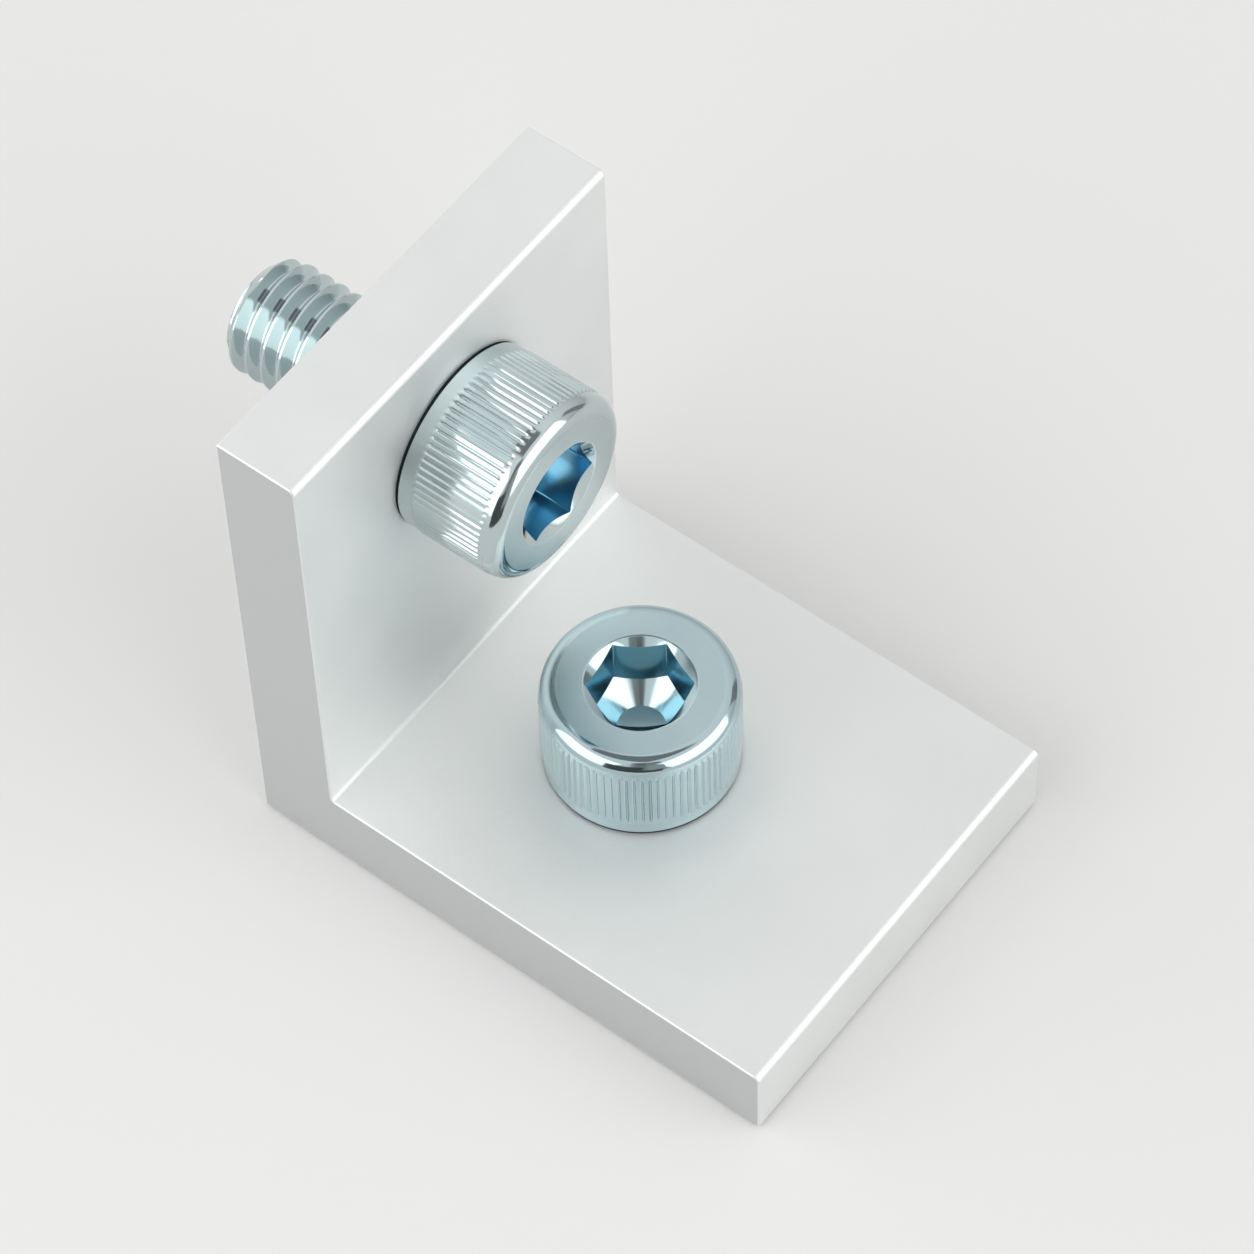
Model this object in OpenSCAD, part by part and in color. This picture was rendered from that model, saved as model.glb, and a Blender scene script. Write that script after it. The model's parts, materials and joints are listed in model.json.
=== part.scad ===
// Angle bracket cut from an equal-leg extrusion, with the two socket head cap screws that fix it.
// X runs along the foot from the back face, Y across the width, and Z up from the foot's underside.

/* [Bracket] */
// Length of the foot, from the back face to its free end
foot_length = 40; // [30:0.5:80]
// Height of the upright, from the foot's underside to its top
upright_height = 40; // [38:0.5:80]
// Width of both legs
bracket_width = 30; // [16:0.5:60]
// Thickness of both legs
leg_thickness = 6; // [4:0.25:8]
// Radius of the fillet in the inner corner
inner_fillet = 0.3; // [0.2:0.05:3]
// Radius on the inner edge at the end of each leg
tip_round = 0.5; // [0.2:0.1:1.5]
// Radius on the outer edges: the heel and the outer edge at the end of each leg
edge_round = 0.2; // [0.1:0.05:0.3]
// Width of the broken edge round each sawn side
sawn_edge = 0.12; // [0.05:0.01:0.3]

/* [Screw holes] */
// Distance of the foot's hole from the back face
foot_hole_x = 19.5; // [17:0.5:22]
// Height of the upright's hole above the foot's underside
upright_hole_z = 29.5; // [24:0.5:31]
// Room between the thread and the hole's wall, all round
hole_clearance = 0.5; // [0.1:0.05:1]
// Width of the chamfer at each mouth of a hole
hole_chamfer = 0.3; // [0.1:0.05:0.5]

/* [Cap screws] */
// Outer diameter of the thread
thread_d = 8; // [7:0.25:8.5]
// Pitch of the thread
thread_pitch = 1.25; // [0.75:0.25:1.5]
// Length under the head
screw_length = 16; // [12:0.5:30]
// Chamfer at the tip of the screw
tip_chamfer = 0.8; // [0.3:0.1:1.2]
// Radius between the shank and the head
neck_fillet = 0.4; // [0.2:0.05:0.5]
// Diameter of the head over its knurl
head_d = 13; // [12:0.25:15]
// Height of the head
head_h = 7.7; // [7:0.1:10]
// Radius of the rounded edge round the head's top
crown_round = 1.05; // [0.3:0.05:1.2]
// Height of the plain collar under the knurl
collar_h = 1.6; // [0.8:0.1:2.5]
// Distance of the bearing face's rim inside the collar
bearing_inset = 0.6; // [0.1:0.05:0.8]
// Height of the gap that the bearing face leaves under the collar
bearing_gap = 0.25; // [0.1:0.05:0.4]
// Number of ridges in the straight knurl
knurl_count = 80; // [48:2:96]
// Depth of the knurl's grooves
knurl_depth = 0.16; // [0.08:0.01:0.25]
// Share of each ridge that is flat on top
knurl_crest = 0.5; // [0.2:0.05:0.8]

/* [Hex sockets] */
// Width of the hex socket across its flats
hex_flats = 6; // [5:0.25:7]
// Depth of the socket's walls at the middle of each flat
hex_depth = 4.1; // [3:0.1:5]
// Width of the chamfer at the socket's mouth, outside its corners
hex_chamfer = 0.15; // [0.1:0.05:0.6]
// Slope of that chamfer, in degrees
mouth_slope = 35; // [15:1:45]
// Diameter of the flat at the middle of the socket's floor
floor_flat_d = 3.2; // [1:0.1:4]
// Slope of the floor round that flat, in degrees
floor_slope = 35; // [10:1:40]
// Turn of the foot screw's socket, in degrees
foot_hex_turn = 38; // [0:1:59]
// Turn of the upright screw's socket, in degrees
upright_hex_turn = 18; // [0:1:59]

/* [Hidden] */
// Overlap that carries a cut past the face it opens
overlap = 0.5;
// Length that carries a shape past the whole bracket both ways
beyond = 2 * (foot_length + upright_height);
// Facets of a full circle
$fn = 96;
// Height of the sharp triangle that a 60 degree thread of this pitch is cut from
thread_triangle = thread_pitch * sqrt(3) / 2;
// Diameter of the shank where the thread was not rolled, which is the thread's pitch diameter
neck_d = thread_d - 3 / 4 * thread_triangle;
// Diameter at the bottom of the thread
root_d = thread_d - 5 / 4 * thread_triangle;
// Ridges of the thread, from the neck to past the tip
thread_ridges = ceil((screw_length - leg_thickness) / thread_pitch);
hole_d = thread_d + 2 * hole_clearance;
// The head as it was before the knurl was rolled, which raised the ridges as much as it sank the grooves
blank_d = head_d - knurl_depth;
groove_d = head_d - 2 * knurl_depth;
hex_corners = hex_flats / cos(30);
mouth_d = hex_corners + 2 * hex_chamfer;

// The area between a square corner at the origin and a round that is tangent to both its sides
module corner_web(radius) {
    difference() {
        translate([-overlap, -overlap]) square(radius + overlap);
        translate([radius, radius]) circle(radius);
    }
}

// Section of the extrusion: the foot along X, the upright along Y, and their rounded edges
module angle_section() {
    difference() {
        union() {
            square([foot_length, leg_thickness]);
            square([leg_thickness, upright_height]);
            translate([leg_thickness, leg_thickness]) corner_web(inner_fillet);
        }
        corner_web(edge_round);
        translate([foot_length, 0]) rotate(90) corner_web(edge_round);
        translate([0, upright_height]) rotate(-90) corner_web(edge_round);
        translate([foot_length, leg_thickness]) rotate(180) corner_web(tip_round);
        translate([leg_thickness, upright_height]) rotate(180) corner_web(tip_round);
    }
}

// Puts a child on the foot's seat, with its Z axis out of the seat
module on_foot() {
    translate([foot_hole_x, 0, leg_thickness]) children();
}

// Puts a child on the upright's seat, with its Z axis out of the seat
module on_upright() {
    translate([leg_thickness, 0, upright_hole_z]) rotate([0, 90, 0]) children();
}

// Clearance hole down from a seat through the leg, chamfered at both mouths
module screw_hole() {
    hole_r = hole_d / 2;
    wide_r = hole_r + hole_chamfer + overlap;
    rotate_extrude()
        polygon([
            [0, overlap],
            [wide_r, overlap],
            [hole_r, -hole_chamfer],
            [hole_r, hole_chamfer - leg_thickness],
            [wide_r, -leg_thickness - overlap],
            [0, -leg_thickness - overlap]
        ]);
}

// Room round a leg from the heel, this long and this high, that breaks the edges of its two sawn sides
module broken_edges(length, height) {
    half_side = bracket_width / 2 - sawn_edge;
    intersection() {
        translate([length / 2, 0, 0])
            linear_extrude(beyond, center = true) circle(half_side + length / 2, $fn = 4);
        translate([0, 0, height / 2])
            rotate([90, 0, 90]) linear_extrude(beyond, center = true) circle(half_side + height / 2, $fn = 4);
    }
}

// The angle, extruded, sawn to its width, deburred and drilled
module bracket() {
    color("#c8cacb")
        difference() {
            intersection() {
                rotate([90, 0, 0]) linear_extrude(bracket_width, center = true) angle_section();
                union() {
                    broken_edges(foot_length, leg_thickness);
                    broken_edges(leg_thickness, upright_height);
                }
            }
            on_foot() screw_hole();
            on_upright() screw_hole();
        }
}

// Head without its knurl: bearing face, plain collar, a slimmer waist that the knurl goes round, and crown
module head_core() {
    blank_r = blank_d / 2;
    crown_foot = head_h - crown_round;
    rotate_extrude()
        difference() {
            union() {
                square([groove_d / 2 - knurl_depth, head_h]);
                square([blank_r, collar_h]);
                translate([0, crown_foot]) square([blank_r, crown_round]);
            }
            translate([blank_r, head_h]) rotate(180) corner_web(crown_round);
            translate([blank_r - bearing_inset, -overlap])
                square([bearing_inset + overlap, bearing_gap + overlap]);
        }
}

// Straight knurl: a ring of flat-topped ridges between the collar and the crown
module knurl() {
    step = 360 / knurl_count;
    translate([0, 0, collar_h])
        linear_extrude(head_h - crown_round - collar_h)
            polygon([
                for (ridge = [0 : knurl_count - 1])
                    for (spot = [-knurl_crest / 2, knurl_crest / 2, 1 / 2])
                        let (angle = (ridge + spot) * step)
                        let (radius = (spot == 1 / 2 ? groove_d : head_d) / 2)
                        radius * [cos(angle), sin(angle)]
            ]);
}

// Hex socket down from the head's top, with a chamfered mouth and a dished floor
module hex_socket() {
    flats_r = hex_flats / 2;
    flat_r = floor_flat_d / 2;
    mouth_r = mouth_d / 2;
    wall_foot = head_h - hex_depth;
    intersection() {
        cylinder(h = head_h + overlap, d = hex_corners, $fn = 6);
        rotate_extrude()
            polygon([
                [0, wall_foot - (flats_r - flat_r) * tan(floor_slope)],
                [flat_r, wall_foot - (flats_r - flat_r) * tan(floor_slope)],
                [mouth_r, wall_foot + (mouth_r - flats_r) * tan(floor_slope)],
                [mouth_r, head_h + overlap],
                [0, head_h + overlap]
            ]);
    }
    translate([0, 0, head_h - mouth_r * tan(mouth_slope)])
        cylinder(h = (mouth_r + overlap) * tan(mouth_slope), r1 = 0, r2 = mouth_r + overlap);
}

// One ridge of the thread round its middle: flat crest, straight flanks and half a root on each side
function ridge_outline(middle) = [
    [root_d / 2, middle + 3 / 8 * thread_pitch],
    [thread_d / 2, middle + thread_pitch / 16],
    [thread_d / 2, middle - thread_pitch / 16],
    [root_d / 2, middle - 3 / 8 * thread_pitch]
];

// Shank below the seat: plain neck through the leg, the thread as rings at its pitch, and a chamfered tip
module shank() {
    neck_r = neck_d / 2;
    wide_r = thread_d / 2 + overlap;
    past_tip = -screw_length - thread_pitch;
    rotate_extrude() {
        intersection() {
            polygon([
                [0, overlap],
                [neck_r, overlap],
                [neck_r, -leg_thickness],
                for (ridge = [0 : thread_ridges - 1])
                    each ridge_outline(-leg_thickness - (ridge + 1 / 2) * thread_pitch),
                [root_d / 2, past_tip],
                [0, past_tip]
            ]);
            polygon([
                [-overlap, 2 * overlap],
                [wide_r, 2 * overlap],
                [wide_r, tip_chamfer + overlap - screw_length],
                [thread_d / 2 - tip_chamfer, -screw_length],
                [-overlap, -screw_length]
            ]);
        }
        translate([neck_r, 0]) rotate(-90) corner_web(neck_fillet);
    }
}

// One cap screw, seated at the origin with its head along Z
module cap_screw(hex_turn) {
    difference() {
        union() {
            head_core();
            knurl();
            shank();
        }
        rotate(hex_turn) hex_socket();
    }
}

// Both screws, each tight on its seat
module cap_screws() {
    color("#b4c2c8") {
        on_foot() cap_screw(foot_hex_turn);
        on_upright() cap_screw(upright_hex_turn);
    }
}

bracket();
cap_screws();
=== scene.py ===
"""Dressed model of a drilled angle bracket with its two socket head cap screws.

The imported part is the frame. Each class builds one sub-assembly as a mesh in millimetres in its own frame,
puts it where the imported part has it, and dresses it in the finish of the real piece.
"""

import json
import logging
import math
from collections.abc import Iterator, Mapping, Sequence
from dataclasses import dataclass
from enum import Enum

import bmesh
import bpy
import numpy as np
from mathutils import Matrix, Vector


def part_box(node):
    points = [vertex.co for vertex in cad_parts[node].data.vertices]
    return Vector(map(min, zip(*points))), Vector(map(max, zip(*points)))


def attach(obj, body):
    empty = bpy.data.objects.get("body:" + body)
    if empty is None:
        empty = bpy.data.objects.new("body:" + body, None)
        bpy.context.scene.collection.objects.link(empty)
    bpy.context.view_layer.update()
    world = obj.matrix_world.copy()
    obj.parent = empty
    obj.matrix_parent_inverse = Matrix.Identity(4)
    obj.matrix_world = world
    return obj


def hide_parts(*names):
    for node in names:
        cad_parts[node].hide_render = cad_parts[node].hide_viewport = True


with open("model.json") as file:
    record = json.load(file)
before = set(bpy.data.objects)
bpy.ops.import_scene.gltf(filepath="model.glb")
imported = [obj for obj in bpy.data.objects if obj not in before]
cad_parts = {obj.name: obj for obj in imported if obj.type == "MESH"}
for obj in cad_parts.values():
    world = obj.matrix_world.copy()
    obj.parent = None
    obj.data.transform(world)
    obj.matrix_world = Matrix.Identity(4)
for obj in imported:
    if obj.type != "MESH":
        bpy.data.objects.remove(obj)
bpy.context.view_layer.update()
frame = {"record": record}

MM = 0.001
# Points closer than this, in millimetres, are one point.
MERGE_MM = 1e-4
# Weight at which the largest face at a corner sets its shading.
LARGEST_FACE_WEIGHT = 100
# Values that most of a noise lies between.
NOISE_LOW, NOISE_HIGH = 0.3, 0.7
# Finer layers within a noise: two in a cloud, and one in a grain.
CLOUD_LAYERS, GRAIN_LAYERS = 2.0, 1.0
BODY = "root"
log = logging.getLogger("l_bracket")


class Slot(Enum):
    """Material slots of the record that the pieces take their finish from."""

    ALUMINIUM = "anodised_aluminium"
    ZINC = "zinc_plated_steel"


class Leg(Enum):
    """The two legs of the angle, each named with the mount at the free end of its screw."""

    FOOT = "foot_screw_end"
    UPRIGHT = "upright_screw_end"


def linear(hex_colour: str) -> tuple[float, float, float, float]:
    """Turns an sRGB hex colour into linear light, by the curve of the sRGB standard.

    Args:
        hex_colour: Six hex digits after a hash sign.

    Returns:
        Red, green, blue and an alpha of one.
    """
    shares = [int(hex_colour[at : at + 2], 16) / 255 for at in (1, 3, 5)]
    red, green, blue = (s / 12.92 if s <= 0.04045 else ((s + 0.055) / 1.055) ** 2.4 for s in shares)
    return red, green, blue, 1.0


def add_node(
    tree: bpy.types.NodeTree,
    kind: str,
    inputs: Mapping[str | int, object] | None = None,
    **settings: object,
) -> bpy.types.Node:
    """Adds a node with its settings, values and links.

    Args:
        tree: Node tree that takes the node.
        kind: Blender's name for the kind of node.
        inputs: For each input, by name or place, the socket that feeds it or else its value.
        settings: The node's own properties.

    Returns:
        The new node.
    """
    node = tree.nodes.new(kind)
    for name, value in settings.items():
        setattr(node, name, value)
    for key, value in (inputs or {}).items():
        if isinstance(value, bpy.types.NodeSocket):
            tree.links.new(value, node.inputs[key])
        else:
            node.inputs[key].default_value = value
    return node


def smooth_step(share: np.ndarray) -> np.ndarray:
    """Eases a share from 0 to 1, flat at both ends and outside them."""
    held = np.clip(share, 0, 1)
    return held * held * (3 - 2 * held)


class MeshDraft:
    """Points and faces gathered for one piece, in millimetres in the piece's own frame."""

    def __init__(self) -> None:
        """Starts with no points and no faces."""
        self.points: list[np.ndarray] = []
        self.faces: list[tuple[int, ...]] = []
        self.shares: list[dict[str, float]] = []
        self.count = 0

    def add(self, points: np.ndarray) -> np.ndarray:
        """Adds a row of points.

        Args:
            points: One row of x, y and z for each point.

        Returns:
            The points' numbers.
        """
        self.points.append(points)
        numbers = np.arange(self.count, self.count + len(points))
        self.count += len(points)
        return numbers

    def face(self, numbers: Sequence[int], **shares: float) -> None:
        """Adds a face.

        Args:
            numbers: Its points' numbers, in order round it.
            shares: How much of each named variant of its finish the face has, from 0 to 1.
        """
        self.faces.append(tuple(int(number) for number in numbers))
        self.shares.append(shares)

    def band(
        self, first: Sequence[int], second: Sequence[int], closed: bool = True, **shares: float
    ) -> None:
        """Joins two rows of equally many points with quads.

        Args:
            first: Numbers of the points of one row.
            second: Numbers of the points of the other.
            closed: Whether the rows are rings.
            shares: How much of each named variant of their finish the quads have.
        """
        last = len(first) if closed else len(first) - 1
        for at in range(last):
            after = (at + 1) % len(first)
            self.face((first[at], first[after], second[after], second[at]), **shares)

    def fan(self, ring: Sequence[int], centre: np.ndarray, **shares: float) -> None:
        """Closes a ring with triangles round a centre point.

        Args:
            ring: Numbers of the ring's points, in order round it.
            centre: The centre point.
            shares: How much of each named variant of their finish the triangles have.
        """
        (hub,) = self.add(centre.reshape(1, 3))
        for at, number in enumerate(ring):
            self.face((number, ring[(at + 1) % len(ring)], hub), **shares)

    def build(self, name: str, place: Matrix, sharp_angle: float) -> bpy.types.Object:
        """Makes the object, in metres in the row frame.

        Args:
            name: Name of the piece.
            place: Where the piece's own frame lies, in metres.
            sharp_angle: Edges that turn by more than this, in degrees, are shaded as corners.

        Returns:
            The object, linked to the scene.
        """
        mesh = bpy.data.meshes.new(name)
        mesh.from_pydata((np.vstack(self.points) * MM).tolist(), [], self.faces)
        for variant in sorted({variant for shares in self.shares for variant in shares}):
            values = [shares.get(variant, 0.0) for shares in self.shares]
            mesh.attributes.new(variant, "FLOAT", "FACE").data.foreach_set("value", values)
        mesh.transform(place)
        solid = bmesh.new()
        solid.from_mesh(mesh)
        bmesh.ops.remove_doubles(solid, verts=solid.verts, dist=MERGE_MM * MM)
        bmesh.ops.recalc_face_normals(solid, faces=solid.faces)
        solid.to_mesh(mesh)
        solid.free()
        mesh.shade_smooth()
        mesh.set_sharp_from_angle(angle=math.radians(sharp_angle))
        piece = bpy.data.objects.new(name, mesh)
        bpy.context.scene.collection.objects.link(piece)
        normals = piece.modifiers.new("flat_faces", "WEIGHTED_NORMAL")
        normals.keep_sharp = True
        normals.weight = LARGEST_FACE_WEIGHT
        return piece


@dataclass(frozen=True)
class SatinAnodisedAluminium:
    """Extruded aluminium, etched and clear anodised.

    The etch leaves a satin that blurs what the metal mirrors, the extrusion die leaves faint straight lines
    along its length, and the clear oxide keeps the metal's own near-white grey. The sawn sides are more
    matte, and are painted a shade darker: painted shade for the darker surroundings that they mirror. The
    seat ring round each hole under a screw's head is painted dark, as painted shade, so that a dark line
    shows in the gap under the head.
    """

    pale: str = "#eceeed"
    dull: str = "#e6e8e7"
    # Painted shade: a shade darker than the drawn faces, for the darker surroundings that the sawn sides
    # mirror.
    sawn: str = "#cbcccd"
    # Painted shade: the dark seat under each screw's head, which shows as a dark line in the gap under it.
    seat: str = "#505b62"
    roughness: tuple[float, float] = (0.53, 0.61)
    sawn_roughness: float = 0.64
    cloud_mm: float = 9.0
    die_line_mm: float = 0.5
    die_line_length_mm: float = 25.0
    die_line_depth_mm: float = 0.014
    etch_grain_mm: float = 0.18
    etch_grain_depth_mm: float = 0.007

    def material(self) -> bpy.types.Material:
        """Builds the material.

        Returns:
            Satin clear-anodised extruded aluminium.
        """
        made = bpy.data.materials.new("satin_anodised_extruded_aluminium")
        made.use_nodes = True
        tree = made.node_tree
        shader = tree.nodes["Principled BSDF"]
        shader.inputs["Metallic"].default_value = 1.0
        place = add_node(tree, "ShaderNodeTexCoord").outputs["Object"]
        cloud = add_node(
            tree,
            "ShaderNodeTexNoise",
            {"Vector": place, "Scale": 1 / (self.cloud_mm * MM), "Detail": CLOUD_LAYERS},
        ).outputs["Fac"]
        sawn = add_node(tree, "ShaderNodeAttribute", attribute_name="sawn").outputs["Fac"]
        drawn_tint = add_node(
            tree,
            "ShaderNodeMix",
            {"Factor": cloud, "A": linear(self.dull), "B": linear(self.pale)},
            data_type="RGBA",
        ).outputs["Result"]
        # Painted shade: the sawn sides are tinted darker, for the darker surroundings that they mirror.
        sawn_and_shaded_tint = add_node(
            tree,
            "ShaderNodeMix",
            {"Factor": sawn, "A": drawn_tint, "B": linear(self.sawn)},
            data_type="RGBA",
        ).outputs["Result"]
        # Painted shade: the seat under each screw's head takes the dark seat colour, for the gap under the
        # head.
        seat = add_node(tree, "ShaderNodeAttribute", attribute_name="seat").outputs["Fac"]
        tint = add_node(
            tree,
            "ShaderNodeMix",
            {"Factor": seat, "A": sawn_and_shaded_tint, "B": linear(self.seat)},
            data_type="RGBA",
        )
        tree.links.new(tint.outputs["Result"], shader.inputs["Base Color"])
        low, high = self.roughness
        satin = add_node(
            tree,
            "ShaderNodeMapRange",
            {"Value": cloud, "From Min": NOISE_LOW, "From Max": NOISE_HIGH, "To Min": low, "To Max": high},
        ).outputs["Result"]
        matte = add_node(tree, "ShaderNodeMix", {"Factor": sawn, "A": satin, "B": self.sawn_roughness})
        tree.links.new(matte.outputs["Result"], shader.inputs["Roughness"])
        # Real etch pits are a few hundredths of a millimetre wide and real die lines a few microns deep.
        # The pits are drawn wider, and both are drawn deeper, so that they show.
        across = 1 / (self.die_line_mm * MM)
        along = 1 / (self.die_line_length_mm * MM)
        drawn = add_node(tree, "ShaderNodeMapping", {"Vector": place, "Scale": (across, along, across)})
        lines = add_node(tree, "ShaderNodeTexNoise", {"Vector": drawn.outputs["Vector"], "Scale": 1.0})
        grain = add_node(
            tree,
            "ShaderNodeTexNoise",
            {"Vector": place, "Scale": 1 / (self.etch_grain_mm * MM), "Detail": GRAIN_LAYERS},
        )
        etched = add_node(
            tree,
            "ShaderNodeBump",
            {"Height": grain.outputs["Fac"], "Distance": self.etch_grain_depth_mm * MM},
        )
        ruled = add_node(
            tree,
            "ShaderNodeBump",
            {
                "Height": lines.outputs["Fac"],
                "Distance": self.die_line_depth_mm * MM,
                "Normal": etched.outputs["Normal"],
            },
        )
        tree.links.new(ruled.outputs["Normal"], shader.inputs["Normal"])
        return made


@dataclass(frozen=True)
class BluePassivatedZinc:
    """Steel plated with bright zinc and passivated blue.

    The plating mirrors its surroundings with a slight haze, and is duller on the faces that the forging
    punch pressed flat. The thin film tints it a cold grey that drifts a little in hue, and it stays thicker
    on the walls of the socket, where it turns a clear blue.
    """

    name: str
    cool: str
    warm: str
    recess: str
    roughness: tuple[float, float] = (0.08, 0.14)
    pressed_roughness: float = 0.3
    drift_mm: float = 2.5
    plating_grain_mm: float = 0.2
    plating_grain_depth_mm: float = 0.0006

    def material(self) -> bpy.types.Material:
        """Builds the material.

        Returns:
            Bright zinc plate with a blue passivation.
        """
        made = bpy.data.materials.new(self.name)
        made.use_nodes = True
        tree = made.node_tree
        shader = tree.nodes["Principled BSDF"]
        shader.inputs["Metallic"].default_value = 1.0
        place = add_node(tree, "ShaderNodeTexCoord").outputs["Object"]
        drift = add_node(
            tree,
            "ShaderNodeTexNoise",
            {"Vector": place, "Scale": 1 / (self.drift_mm * MM), "Detail": CLOUD_LAYERS},
        ).outputs["Fac"]
        film = add_node(tree, "ShaderNodeAttribute", attribute_name="film").outputs["Fac"]
        open_tint = add_node(
            tree,
            "ShaderNodeMix",
            {"Factor": drift, "A": linear(self.cool), "B": linear(self.warm)},
            data_type="RGBA",
        ).outputs["Result"]
        tint = add_node(
            tree,
            "ShaderNodeMix",
            {"Factor": film, "A": open_tint, "B": linear(self.recess)},
            data_type="RGBA",
        )
        tree.links.new(tint.outputs["Result"], shader.inputs["Base Color"])
        low, high = self.roughness
        haze = add_node(
            tree,
            "ShaderNodeMapRange",
            {"Value": drift, "From Min": NOISE_LOW, "From Max": NOISE_HIGH, "To Min": low, "To Max": high},
        ).outputs["Result"]
        pressed = add_node(tree, "ShaderNodeAttribute", attribute_name="pressed").outputs["Fac"]
        gloss = add_node(tree, "ShaderNodeMix", {"Factor": pressed, "A": haze, "B": self.pressed_roughness})
        tree.links.new(gloss.outputs["Result"], shader.inputs["Roughness"])
        # The real crystals are microns wide and are drawn coarser so that the plate isn't a perfect mirror.
        grain = add_node(
            tree,
            "ShaderNodeTexNoise",
            {"Vector": place, "Scale": 1 / (self.plating_grain_mm * MM), "Detail": GRAIN_LAYERS},
        )
        plated = add_node(
            tree,
            "ShaderNodeBump",
            {"Height": grain.outputs["Fac"], "Distance": self.plating_grain_depth_mm * MM},
        )
        tree.links.new(plated.outputs["Normal"], shader.inputs["Normal"])
        return made


@dataclass(frozen=True)
class MatteSheet:
    """Studio paper or card: matte, so that it takes only the light's own level and the shadow."""

    name: str
    colour: str
    roughness: float = 0.9

    def material(self) -> bpy.types.Material:
        """Builds the material.

        Returns:
            Matte paper or card.
        """
        made = bpy.data.materials.new(self.name)
        made.use_nodes = True
        shader = made.node_tree.nodes["Principled BSDF"]
        shader.inputs["Base Color"].default_value = linear(self.colour)
        shader.inputs["Roughness"].default_value = self.roughness
        shader.inputs["Specular IOR Level"].default_value = 0.0
        return made


def dress(piece: bpy.types.Object, node: str, material: bpy.types.Material) -> None:
    """Gives a piece its finish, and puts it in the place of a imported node.

    Args:
        piece: The piece's object.
        node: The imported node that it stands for.
        material: The finish.
    """
    piece.data.materials.append(material)
    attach(piece, BODY)
    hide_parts(node)
    log.info("%s: %d faces, stands for %s", piece.name, len(piece.data.polygons), node)


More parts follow.
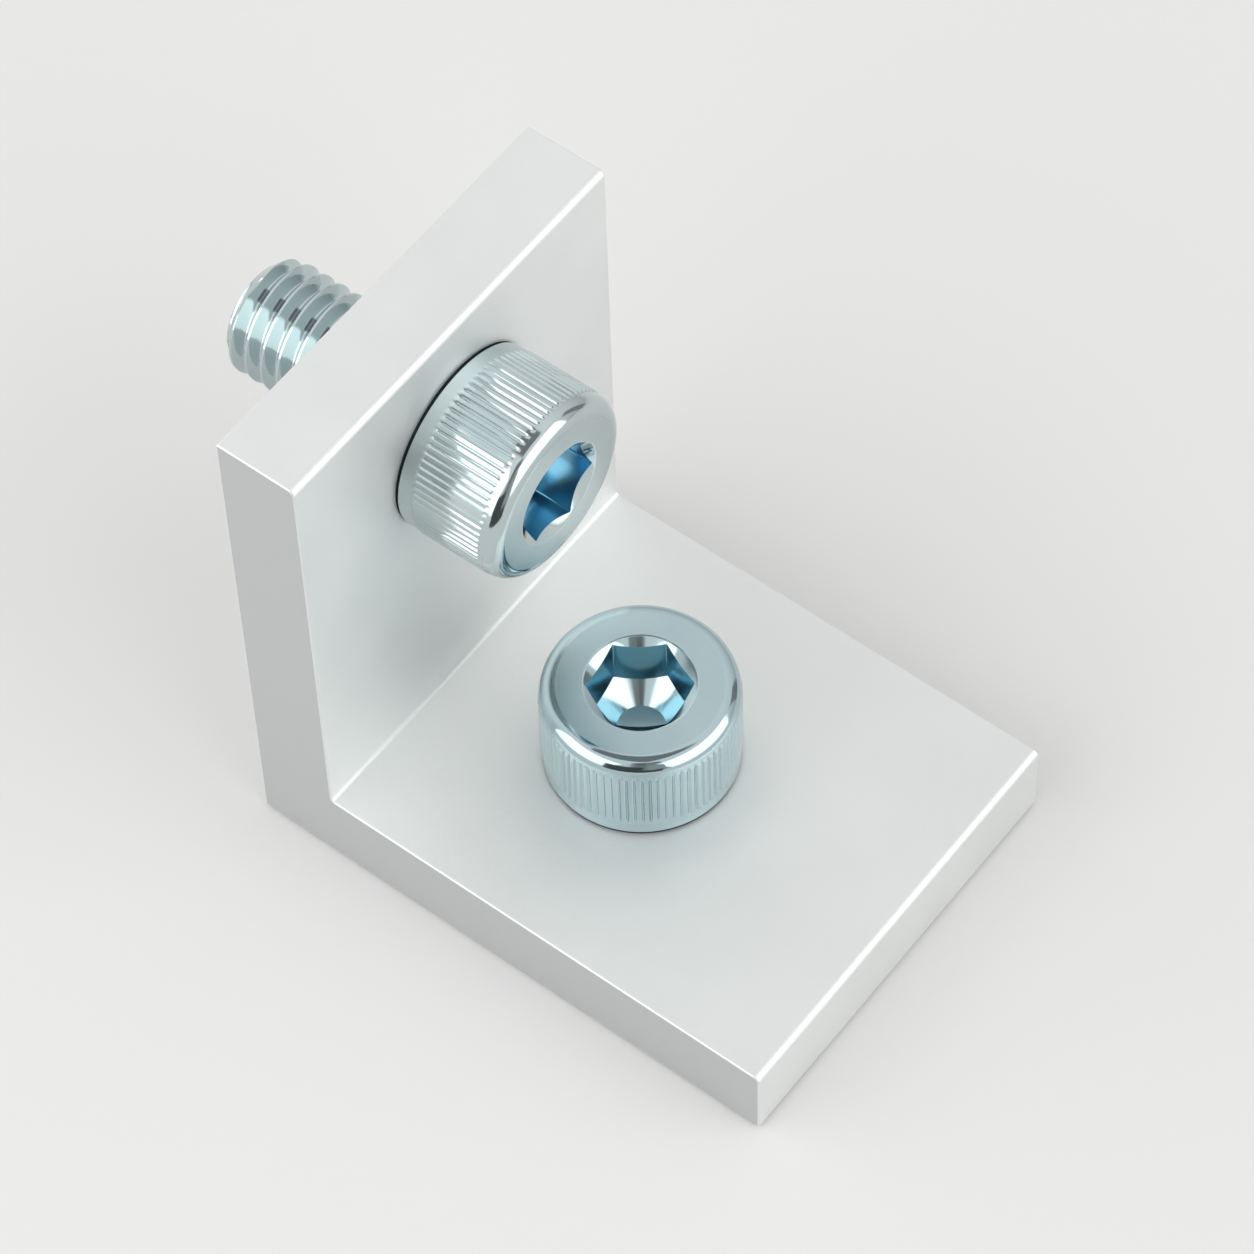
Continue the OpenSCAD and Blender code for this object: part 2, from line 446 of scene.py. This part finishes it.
@dataclass
class AngleBracket:
    """The angle: extruded, sawn to width, drilled through each leg and deburred. Sizes in millimetres."""

    leg_thickness: float = 6.0
    inner_fillet: float = 0.3
    tip_round: float = 0.5
    edge_round: float = 0.2
    sawn_edge_round: float = 0.12
    hole_r: float = 4.5
    hole_chamfer: float = 0.3
    # Outer radius of the seat ring round each inner mouth, painted dark as the shade under the screw's head.
    painted_shade_r: float = 6.36
    arc_steps: int = 8
    hole_columns: int = 96
    sharp_angle: float = 30.0
    node: str = "bracket"

    def __post_init__(self) -> None:
        """Takes the outer sizes and the holes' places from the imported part."""
        low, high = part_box(self.node)
        self.foot_length = high.x / MM
        self.upright_height = high.z / MM
        self.half_width = (high.y - low.y) / 2 / MM
        ends = {mount["name"]: mount["pos_m"] for mount in frame["record"]["mounts"]}
        self.foot_hole_x = ends[Leg.FOOT.value][0] / MM
        self.upright_hole_z = ends[Leg.UPRIGHT.value][2] / MM

    def outline(self) -> tuple[np.ndarray, np.ndarray]:
        """Walks round the section from the heel, along the foot first.

        Returns:
            The points and their outward normals, as rows of x and z.
        """
        thick = self.leg_thickness
        corners = [
            (0.0, 0.0, self.edge_round),
            (self.foot_length, 0.0, self.edge_round),
            (self.foot_length, thick, self.tip_round),
            (thick, thick, self.inner_fillet),
            (thick, self.upright_height, self.tip_round),
            (0.0, self.upright_height, self.edge_round),
        ]
        points, normals = [], []
        for at, (x, z, radius) in enumerate(corners):
            corner = np.array([x, z])
            before = corner - corners[at - 1][:2]
            after = np.array(corners[(at + 1) % len(corners)][:2]) - corner
            before, after = before / np.linalg.norm(before), after / np.linalg.norm(after)
            turn = before[0] * after[1] - before[1] * after[0]
            centre = corner + (after - before) * radius
            for step in range(self.arc_steps + 1):
                angle = turn * step / self.arc_steps * math.pi / 2
                out = np.array([before[1], -before[0]])
                normal = np.array(
                    [
                        out[0] * math.cos(angle) - out[1] * math.sin(angle),
                        out[0] * math.sin(angle) + out[1] * math.cos(angle),
                    ]
                )
                points.append(centre + turn * radius * normal)
                normals.append(normal)
        return np.array(points), np.array(normals)

    def stations(self) -> Iterator[tuple[float, float]]:
        """Goes through the sections across the width.

        Yields:
            Each one's y, and how far its outline is drawn in.
        """
        round_off = self.sawn_edge_round
        angles = [step / self.arc_steps * math.pi / 2 for step in range(self.arc_steps + 1)]
        edge = [
            (self.half_width - round_off + round_off * math.sin(a), round_off - round_off * math.cos(a))
            for a in angles
        ]
        yield from ((-y, inset) for y, inset in reversed(edge))
        yield 0.0, 0.0
        yield from edge

    def hole(self, draft: MeshDraft, leg: Leg) -> tuple[np.ndarray, np.ndarray]:
        """Adds a screw hole's wall and two chamfers, and the seat round its inner mouth in painted shade.

        Args:
            draft: The mesh that takes it.
            leg: The leg that is drilled.

        Returns:
            The numbers of the points round the outer mouth, and round the seat.
        """
        angles = np.arange(self.hole_columns) / self.hole_columns * 2 * math.pi
        wide = self.hole_r + self.hole_chamfer
        rings = []
        for depth, radius in (
            (0.0, wide),
            (self.hole_chamfer, self.hole_r),
            (self.leg_thickness - self.hole_chamfer, self.hole_r),
            (self.leg_thickness, wide),
            (self.leg_thickness, self.painted_shade_r),
        ):
            level = np.full(self.hole_columns, depth)
            y = radius * np.sin(angles)
            if leg is Leg.FOOT:
                ring = np.stack([self.foot_hole_x + radius * np.cos(angles), y, level], axis=1)
            else:
                ring = np.stack([level, y, self.upright_hole_z + radius * np.cos(angles)], axis=1)
            rings.append(draft.add(ring))
        for first, second in zip(rings, rings[1:-1]):
            draft.band(first, second)
        # The seat is painted dark: painted shade for the gap under the screw's head.
        draft.band(rings[-2], rings[-1], seat=1.0)
        return rings[0], rings[-1]

    def drilled_half(
        self, draft: MeshDraft, edge: Sequence[int], middle: Sequence[int], mouth: np.ndarray, side: int
    ) -> None:
        """Adds half of a drilled flat: the stretch from one sawn edge to the middle of the width.

        Args:
            draft: The mesh that takes it.
            edge: The two points at the sawn edge, in the outline's order.
            middle: The two points at the middle of the width, in the same order.
            mouth: The points round the hole.
            side: 1 for the half towards +Y, and -1 for the other.
        """
        half = self.hole_columns // 2
        arc = [mouth[(side * at) % self.hole_columns] for at in range(half + 1)]
        spots = np.vstack(draft.points)
        to_start = np.linalg.norm(spots[arc[0]] - spots[middle[1]])
        to_end = np.linalg.norm(spots[arc[-1]] - spots[middle[1]])
        path = arc if to_start < to_end else arc[::-1]
        draft.face((edge[0], edge[1], middle[1], *path, middle[0]))

    def draft(self) -> MeshDraft:
        """Lofts the section across the width, closes its ends and drills it.

        Returns:
            The bracket's mesh.
        """
        draft = MeshDraft()
        points, normals = self.outline()
        stations = list(self.stations())
        rings = []
        for y, inset in stations:
            drawn = points - normals * inset
            rings.append(draft.add(np.stack([drawn[:, 0], np.full(len(drawn), y), drawn[:, 1]], axis=1)))
        foot_outer, foot_inner = self.hole(draft, Leg.FOOT)
        upright_outer, upright_inner = self.hole(draft, Leg.UPRIGHT)
        per_corner = self.arc_steps + 1
        # Each drilled flat follows one corner of the outline: heel, foot's tip, inner corner or top.
        mouths = {0: foot_outer, 2: foot_inner, 3: upright_inner, 5: upright_outer}
        drilled = {(corner + 1) * per_corner - 1: mouth for corner, mouth in mouths.items()}
        middle = len(stations) // 2
        for at in range(len(rings) - 1):
            for spot in range(len(points)):
                after = (spot + 1) % len(points)
                if at in (middle - 1, middle) and spot in drilled:
                    side = -1 if at == middle - 1 else 1
                    edge = rings[at] if side < 0 else rings[at + 1]
                    self.drilled_half(
                        draft,
                        (edge[spot], edge[after]),
                        (rings[middle][spot], rings[middle][after]),
                        drilled[spot],
                        side,
                    )
                else:
                    quad = (rings[at][spot], rings[at][after], rings[at + 1][after], rings[at + 1][spot])
                    draft.face(quad)
        # The sawn sides are more matte, and are tinted darker as painted shade for the darker surroundings
        # they mirror.
        draft.face(rings[0], sawn=1.0)
        draft.face(rings[-1], sawn=1.0)
        return draft

    def build(self, finish: SatinAnodisedAluminium) -> bpy.types.Object:
        """Builds and dresses the bracket.

        Args:
            finish: Its surface.

        Returns:
            The bracket's object.
        """
        piece = self.draft().build("angle_bracket", Matrix.Identity(4), self.sharp_angle)
        dress(piece, self.node, finish.material())
        return piece


@dataclass
class CapScrew:
    """One socket head cap screw: knurled head, hex socket, neck and rolled thread. Sizes in millimetres."""

    leg: Leg
    hex_turn: float
    seat_height: float
    thread_r: float = 4.0
    pitch: float = 1.25
    # Depths below the crest, as shares of the sharp triangle that a 60 degree thread is cut from
    pitch_line_share: float = 3 / 8
    root_share: float = 17 / 24
    # Half of the flat on the crest, as a share of the pitch
    half_crest_share: float = 1 / 16
    root_softness: float = 0.06
    thread_runout: float = 1.5
    length: float = 16.0
    tip_chamfer: float = 0.8
    neck_fillet: float = 0.4
    head_r: float = 6.5
    head_h: float = 7.7
    crown_round: float = 1.05
    collar_h: float = 1.6
    bearing_inset: float = 0.6
    bearing_gap: float = 0.25
    ridges: int = 80
    ridge_depth: float = 0.16
    crest_share: float = 0.5
    ridge_runout: float = 0.4
    # How far the ridges reach over the upper part of the collar
    collar_runout: float = 0.5
    ridge_unevenness: float = 0.3
    hex_flats_r: float = 3.0
    hex_corner_round: float = 0.15
    hex_depth: float = 4.1
    hex_chamfer: float = 0.15
    mouth_slope: float = 35.0
    mouth_round: float = 0.25
    wall_pressed: float = 0.3
    floor_flat_r: float = 1.6
    floor_slope: float = 35.0
    columns_per_ridge: int = 9
    shank_columns: int = 144
    rows_per_pitch: int = 16
    lip_rows: int = 4
    crown_rows: int = 16
    runout_rows: int = 5
    neck_rows: int = 5
    sharp_angle: float = 25.0
    node: str = "cap_screws"

    def __post_init__(self) -> None:
        """Works out the sizes that follow from the others."""
        self.head_columns = self.ridges * self.columns_per_ridge
        self.head_angles = np.arange(self.head_columns) / self.head_columns * 2 * math.pi
        self.shank_angles = np.arange(self.shank_columns) / self.shank_columns * 2 * math.pi
        self.blank_r = self.head_r - self.ridge_depth / 2
        self.hex_corner_r = self.hex_flats_r / math.cos(math.pi / 6)
        self.mouth_r = self.hex_corner_r + self.hex_chamfer
        self.thread_triangle = math.sqrt(3) / 2 * self.pitch
        self.neck_r = self.thread_r - self.pitch_line_share * self.thread_triangle
        self.root_r = self.thread_r - self.root_share * self.thread_triangle
        self.tip_r = self.thread_r - self.tip_chamfer

    def place(self) -> Matrix:
        """Finds the screw's seat from the mount at its free end.

        Returns:
            The frame on the seat, with its Z axis out of the leg, in metres.
        """
        mounts = {mount["name"]: mount for mount in frame["record"]["mounts"]}
        end = mounts[self.leg.value]
        out = -Vector(end["axis"])
        across = Vector((0, 1, 0))
        spot = Vector(end["pos_m"])
        seat = spot - out * spot.dot(out) + out * self.seat_height * MM
        turned = Matrix([across.cross(out), across, out]).transposed()
        return Matrix.Translation(seat) @ turned.to_4x4()

    def ring(self, draft: MeshDraft, radius: float | np.ndarray, z: float | np.ndarray) -> np.ndarray:
        """Adds a ring of the head's columns.

        Args:
            draft: The mesh that takes it.
            radius: One radius, or one for each column.
            z: One height, or one for each column.

        Returns:
            The numbers of its points.
        """
        angles = self.head_angles
        radii = np.broadcast_to(radius, angles.shape)
        heights = np.broadcast_to(z, angles.shape)
        return draft.add(np.stack([radii * np.cos(angles), radii * np.sin(angles), heights], axis=1))

    def hex_radii(self) -> np.ndarray:
        """Works out the socket's outline, with its six corners a little rounded.

        Returns:
            The radius at each column.
        """
        sixth = math.pi / 3
        from_corner = np.mod(self.head_angles - math.radians(self.hex_turn) + sixth / 2, sixth) - sixth / 2
        from_flat = sixth / 2 - np.abs(from_corner)
        straight = self.hex_flats_r / np.cos(from_flat)
        centre = (self.hex_flats_r - self.hex_corner_round) / math.cos(sixth / 2)
        reach = self.hex_corner_round**2 - (centre * np.sin(from_corner)) ** 2
        arc = centre * np.cos(from_corner) + np.sqrt(np.maximum(reach, 0))
        half_flat = (self.hex_flats_r - self.hex_corner_round) * math.tan(sixth / 2)
        tangent = math.atan(half_flat / self.hex_flats_r)
        return np.where(from_flat > tangent, arc, straight)

    def socket(self, draft: MeshDraft) -> np.ndarray:
        """Adds the socket from its dished floor up to the rounded lip of its mouth.

        Args:
            draft: The mesh that takes it.

        Returns:
            The numbers of the points where the lip meets the head's flat top.
        """
        radii = self.hex_radii()
        slope = math.tan(math.radians(self.floor_slope))
        wall_foot = self.head_h - self.hex_depth
        flat_z = wall_foot - (self.hex_flats_r - self.floor_flat_r) * slope
        floor = self.ring(draft, self.floor_flat_r, flat_z)
        draft.fan(floor, np.array([0.0, 0.0, flat_z]), pressed=1.0)
        dish = self.ring(draft, radii, wall_foot + (radii - self.hex_flats_r) * slope)
        draft.band(floor, dish)
        mouth_slope = math.radians(self.mouth_slope)
        last = self.ring(draft, radii, self.head_h - (self.mouth_r - radii) * math.tan(mouth_slope))
        draft.band(dish, last, film=1.0, pressed=self.wall_pressed)
        back = self.mouth_round * math.tan(mouth_slope / 2)
        for lean in np.linspace(mouth_slope, 0, self.lip_rows):
            radius = self.mouth_r + back - self.mouth_round * math.sin(lean)
            lip = self.ring(draft, radius, self.head_h - self.mouth_round * (1 - math.cos(lean)))
            draft.band(last, lip)
            last = lip
        return last

    def knurl_wave(self) -> np.ndarray:
        """Works out the knurl's ridges, a little uneven.

        Returns:
            The height at each column, from -1 in a groove to 1 on a ridge.
        """
        share = np.arange(self.head_columns) / self.columns_per_ridge
        from_ridge = np.abs(share - np.round(share)) * 2
        worn = np.random.default_rng(self.ridges).uniform(1 - self.ridge_unevenness, 1, self.ridges)
        sunk = np.clip((from_ridge - self.crest_share) / (1 - self.crest_share), 0, 1)
        return (1 - 2 * sunk) * worn[np.round(share).astype(int) % self.ridges]

    def head(self, draft: MeshDraft, lip: np.ndarray) -> np.ndarray:
        """Adds the outside of the head, from the lip of the socket to the bearing face.

        Args:
            draft: The mesh that takes it.
            lip: The points where the flat top begins.

        Returns:
            The numbers of the points round the bearing face.
        """
        crown_foot = self.head_h - self.crown_round
        crown_r = self.blank_r - self.crown_round
        last = self.ring(draft, crown_r, self.head_h)
        draft.band(lip, last, pressed=1.0)
        profile = [
            (crown_r + self.crown_round * math.sin(a), crown_foot + self.crown_round * math.cos(a))
            for a in np.linspace(0, math.pi / 2, self.crown_rows + 1)[1:]
        ]
        wave = self.knurl_wave() * self.ridge_depth / 2
        run = np.linspace(0, self.ridge_runout, self.runout_rows + 1)
        ridge_foot = self.collar_h - self.collar_runout
        heights = np.concatenate([crown_foot - run[1:], (ridge_foot + run)[::-1]])
        for z in heights:
            share = min(crown_foot - z, z - ridge_foot) / self.ridge_runout
            profile.append((self.blank_r + wave * float(smooth_step(np.array(share))), z))
        pad_r = self.blank_r - self.bearing_inset
        profile += [(self.blank_r, self.bearing_gap), (pad_r, self.bearing_gap), (pad_r, 0.0)]
        for radius, z in profile:
            ring = self.ring(draft, radius, z)
            draft.band(last, ring)
            last = ring
        return last

    def thread_radii(self, phase: np.ndarray) -> np.ndarray:
        """Works out the thread's form, with a flat crest and a rounded root.

        Args:
            phase: Turns from the middle of a crest.

        Returns:
            The radius there.
        """
        from_crest = np.abs(phase - np.round(phase))
        sunk = (from_crest - self.half_crest_share) * self.pitch * math.sqrt(3)
        depth = self.thread_r - self.root_r
        soft = self.root_softness
        rounded = depth - soft * np.log1p(np.exp((depth - sunk) / soft))
        return self.thread_r - np.maximum(rounded, 0)

    def shank(self, draft: MeshDraft, bearing: np.ndarray) -> None:
        """Adds the bearing face, the neck through the leg, the rolled thread and the tip.

        Args:
            draft: The mesh that takes it.
            bearing: The points round the bearing face.
        """
        cosines, sines = np.cos(self.shank_angles), np.sin(self.shank_angles)
        neck_end = -self.seat_height
        profile = [
            (
                self.neck_r + self.neck_fillet * (1 - math.sin(a)),
                -self.neck_fillet * (1 - math.cos(a)),
            )
            for a in np.linspace(0, math.pi / 2, self.neck_rows + 1)
        ]
        profile.append((self.neck_r, neck_end))
        rings = []
        for radius, z in profile:
            level = np.full(len(cosines), z)
            rings.append(draft.add(np.stack([radius * cosines, radius * sines, level], axis=1)))
        self.bearing_face(draft, bearing, rings[0])
        for first, second in zip(rings, rings[1:]):
            draft.band(first, second)
        self.thread(draft, neck_end)

    def bearing_face(self, draft: MeshDraft, outer: np.ndarray, inner: np.ndarray) -> None:
        """Joins the head's many columns to the shank's fewer ones across the flat under the head.

        Args:
            draft: The mesh that takes it.
            outer: The points round the bearing face.
            inner: The points round the top of the neck.
        """
        many = len(outer) // len(inner)
        for at in range(len(inner)):
            after = (at + 1) % len(inner)
            arc = [outer[(at * many + step) % len(outer)] for step in range(many + 1)]
            draft.face((inner[after], inner[at], *arc))

    def thread(self, draft: MeshDraft, neck_end: float) -> None:
        """Adds the thread as rows that climb with the helix, held between the neck and the tip.

        Args:
            draft: The mesh that takes it.
            neck_end: Height at which the neck ends.
        """
        columns = np.arange(self.shank_columns + 1) / self.shank_columns
        angles = columns * 2 * math.pi
        turns = math.ceil((neck_end + self.length) / self.pitch) + 1
        rows = []
        for row in range(-self.rows_per_pitch, turns * self.rows_per_pitch + 1):
            phase = row / self.rows_per_pitch
            z = np.clip(-self.length + self.pitch * (phase + columns), -self.length, neck_end)
            cut = np.minimum(self.thread_radii(np.array(phase)), self.tip_r + z + self.length)
            radius = self.neck_r + (cut - self.neck_r) * smooth_step((neck_end - z) / self.thread_runout)
            rows.append(draft.add(np.stack([radius * np.cos(angles), radius * np.sin(angles), z], axis=1)))
        for first, second in zip(rows, rows[1:]):
            draft.band(first, second, closed=False)
        draft.fan(rows[0][:-1], np.array([0.0, 0.0, -self.length]))

    def build(self, name: str, material: bpy.types.Material) -> bpy.types.Object:
        """Builds and dresses the screw.

        Args:
            name: Name of the piece.
            material: Its plating.

        Returns:
            The screw's object.
        """
        draft = MeshDraft()
        lip = self.socket(draft)
        bearing = self.head(draft, lip)
        self.shank(draft, bearing)
        piece = draft.build(name, self.place(), self.sharp_angle)
        dress(piece, self.node, material)
        return piece


@dataclass
class Softbox:
    """A soft lamp on a stand: its bearing from the object, its size in metres and its brightness."""

    name: str
    azimuth: float
    elevation: float
    width: float
    height: float
    radiance: float
    distance: float = 0.8

    def build(self, target: Vector) -> bpy.types.Object:
        """Adds the lamp.

        Args:
            target: The point that it faces.

        Returns:
            The lamp's object.
        """
        lamp = bpy.data.lights.new(self.name, "AREA")
        lamp.shape = "RECTANGLE"
        lamp.size = self.width
        lamp.size_y = self.height
        lamp.energy = self.radiance * math.pi * self.width * self.height
        stand = bpy.data.objects.new(self.name, lamp)
        turn, lift = math.radians(self.azimuth), math.radians(self.elevation)
        out = Vector((math.sin(turn) * math.cos(lift), -math.cos(turn) * math.cos(lift), math.sin(lift)))
        stand.location = target + out * self.distance
        stand.rotation_euler = out.to_track_quat("Z", "Y").to_euler()
        stand.visible_camera = False
        bpy.context.scene.collection.objects.link(stand)
        return stand


def make_sheet(name: str, corners: Sequence[Vector], sheet: MatteSheet) -> bpy.types.Object:
    """Makes a flat sheet of paper or card.

    Args:
        name: Name of the sheet.
        corners: Its four corners in order round it, in metres.
        sheet: What it is made of.

    Returns:
        The sheet's object, not yet in the scene.
    """
    mesh = bpy.data.meshes.new(name)
    mesh.from_pydata(corners, [], [(0, 1, 2, 3)])
    mesh.materials.append(sheet.material())
    return bpy.data.objects.new(name, mesh)


def level_square(side: float, height: float) -> list[Vector]:
    """Gives the corners of a level square over the origin, in order round it, in metres."""
    signs = ((-1, -1), (1, -1), (1, 1), (-1, 1))
    return [Vector((x * side / 2, y * side / 2, height)) for x, y in signs]


def hide_card(card: bpy.types.Object) -> None:
    """Links a card to the scene where only bright metal shows it, so that the floor stays evenly lit.

    Args:
        card: The card's object.
    """
    card.visible_camera = False
    card.visible_diffuse = False
    card.visible_shadow = False
    bpy.context.scene.collection.objects.link(card)


@dataclass
class Flag:
    """A card on its edge on the floor that gives the plating something dark to mirror. Sizes in metres."""

    name: str
    sheet: MatteSheet
    azimuth: float
    width: float
    height: float
    distance: float

    def build(self) -> bpy.types.Object:
        """Stands the card up, out of the camera's sight.

        Returns:
            The card's object.
        """
        turn = math.radians(self.azimuth)
        middle = Vector((math.sin(turn), -math.cos(turn), 0)) * self.distance
        half = Vector((math.cos(turn), math.sin(turn), 0)) * self.width / 2
        rise = Vector((0, 0, self.height))
        corners = [middle - half, middle + half, middle + half + rise, middle - half + rise]
        card = make_sheet(self.name, corners, self.sheet)
        hide_card(card)
        return card


@dataclass
class Studio:
    """Plain pale floor, soft room light that is brighter overhead, softboxes, and cards to mirror."""

    floor_side: float = 40.0
    floor_gap: float = 0.2 * MM
    ceiling_side: float = 0.7
    ceiling_height: float = 1.2
    zenith: float = 1.04
    horizon: float = 0.56
    key_radiance: float = 1.42
    fill_radiance: float = 1.0

    def lamps(self) -> list[Softbox]:
        """Sets out the lamps.

        Returns:
            A broad lamp on either side of the camera, and a weaker one further round to the left.
        """
        key, fill = self.key_radiance, self.fill_radiance
        return [
            Softbox("left_softbox", azimuth=-30, elevation=28, width=1.1, height=0.8, radiance=key),
            Softbox("right_softbox", azimuth=97, elevation=28, width=1.1, height=0.8, radiance=key),
            Softbox("fill_softbox", azimuth=-80, elevation=20, width=0.5, height=0.5, radiance=fill),
        ]

    def flags(self) -> list[Flag]:
        """Sets out the cards that stand on the floor.

        Returns:
            The cards that the plating mirrors as its dark bands.
        """
        dark, grey = MatteSheet("dark_grey_card", "#5a5a5a"), MatteSheet("grey_card", "#8a8a8a")
        pale = MatteSheet("pale_grey_card", "#a8a8a8")
        return [
            Flag("front_flag", dark, azimuth=28, width=0.086, height=0.095, distance=0.14),
            Flag("side_flag", dark, azimuth=52, width=0.044, height=0.035, distance=0.14),
            Flag("camera_flag", grey, azimuth=38, width=0.15, height=1.4, distance=0.7),
            Flag("camera_card", pale, azimuth=44, width=0.44, height=1.45, distance=0.72),
            Flag("rear_flag", grey, azimuth=155, width=0.19, height=0.5, distance=0.7),
        ]

    def build_floor(self) -> bpy.types.Object:
        """Lays the floor just under the bracket's foot.

        Returns:
            The floor's object.
        """
        paper = MatteSheet("matte_white_paper", "#d0d0cf")
        floor = make_sheet("floor", level_square(self.floor_side, -self.floor_gap), paper)
        bpy.context.scene.collection.objects.link(floor)
        return floor

    def build_ceiling(self) -> bpy.types.Object:
        """Hangs a grey card overhead, which the plating mirrors as a dark line.

        Returns:
            The card's object.
        """
        card = MatteSheet("ceiling_card", "#989898")
        ceiling = make_sheet("ceiling", level_square(self.ceiling_side, self.ceiling_height), card)
        hide_card(ceiling)
        return ceiling

    def build_world(self) -> None:
        """Lights the room softly, from the horizon up to the zenith."""
        world = bpy.data.worlds.new("soft_room")
        world.use_nodes = True
        tree = world.node_tree
        way = add_node(tree, "ShaderNodeTexCoord").outputs["Generated"]
        height = add_node(tree, "ShaderNodeSeparateXYZ", {"Vector": way}).outputs["Z"]
        level = add_node(
            tree, "ShaderNodeMapRange", {"Value": height, "To Min": self.horizon, "To Max": self.zenith}
        )
        tree.links.new(level.outputs["Result"], tree.nodes["Background"].inputs["Strength"])
        tree.nodes["Background"].inputs["Color"].default_value = (1.0, 1.0, 1.0, 1.0)
        bpy.context.scene.world = world

    def build(self, target: Vector) -> None:
        """Sets up the floor, the room light, the lamps, the flags and the ceiling card.

        Args:
            target: The point that the lamps face.
        """
        self.build_floor()
        self.build_world()
        for lamp in self.lamps():
            lamp.build(target)
        for flag in self.flags():
            flag.build()
        self.build_ceiling()
        counts = len(self.lamps()), len(self.flags())
        log.info("studio: floor, room light, %d lamps, %d flags and a ceiling card", *counts)


@dataclass
class PhotoCamera:
    """Camera at the photograph's viewpoint, with a lens long enough for the part to fill the frame.

    Sizes in millimetres, and the tilt in degrees.
    """

    eye_mm: tuple[float, float, float] = (139.9, -148.5, 305.2)
    aim_mm: tuple[float, float, float] = (16.9, 2.1, 15.2)
    tilt: float = -2.16
    lens: float = 159.0
    sensor: float = 36.0
    clip_start: float = 10.0

    def build(self) -> bpy.types.Object:
        """Makes the camera and hands it to the scene.

        Returns:
            The camera's object.
        """
        eye = Vector(self.eye_mm) * MM
        back = (eye - Vector(self.aim_mm) * MM).normalized()
        level = Vector((0, 0, 1)).cross(back).normalized()
        upright = back.cross(level)
        turn = math.radians(self.tilt)
        right = level * math.cos(turn) + upright * math.sin(turn)
        up = back.cross(right)
        lens = bpy.data.cameras.new("photo_camera")
        lens.lens = self.lens
        lens.sensor_width = self.sensor
        lens.clip_start = self.clip_start * MM
        camera = bpy.data.objects.new("photo_camera", lens)
        camera.matrix_world = Matrix.Translation(eye) @ Matrix([right, up, back]).transposed().to_4x4()
        bpy.context.scene.collection.objects.link(camera)
        bpy.context.scene.camera = camera
        log.info("camera: %.0f mm lens at %s mm", self.lens, self.eye_mm)
        return camera


def main() -> None:
    """Builds the camera, the pieces and the studio, and reports each."""
    logging.basicConfig(level=logging.INFO, format="%(message)s")
    bpy.context.scene.view_settings.view_transform = "Standard"
    camera = PhotoCamera()
    camera.build()
    bracket = AngleBracket()
    bracket.build(SatinAnodisedAluminium())
    # The two screws have one plating. Their tints differ only to match the light each gets and what it
    # mirrors: painted light and shade.
    foot_screw_plating_painted_light = BluePassivatedZinc(
        "passivated_zinc_plate_painted_foot_light", cool="#acc3ca", warm="#b8cacd", recess="#a8d2e0"
    )
    upright_screw_plating_painted_light = BluePassivatedZinc(
        "passivated_zinc_plate_painted_upright_light", cool="#bac9cc", warm="#c6d1d1", recess="#8cc4de"
    )
    seat_height = bracket.leg_thickness
    foot_screw = CapScrew(Leg.FOOT, hex_turn=38, seat_height=seat_height)
    foot_screw.build("foot_screw", foot_screw_plating_painted_light.material())
    upright_screw = CapScrew(Leg.UPRIGHT, hex_turn=18, seat_height=seat_height)
    upright_screw.build("upright_screw", upright_screw_plating_painted_light.material())
    Studio().build(Vector(camera.aim_mm) * MM)


if __name__ == "__main__":
    main()
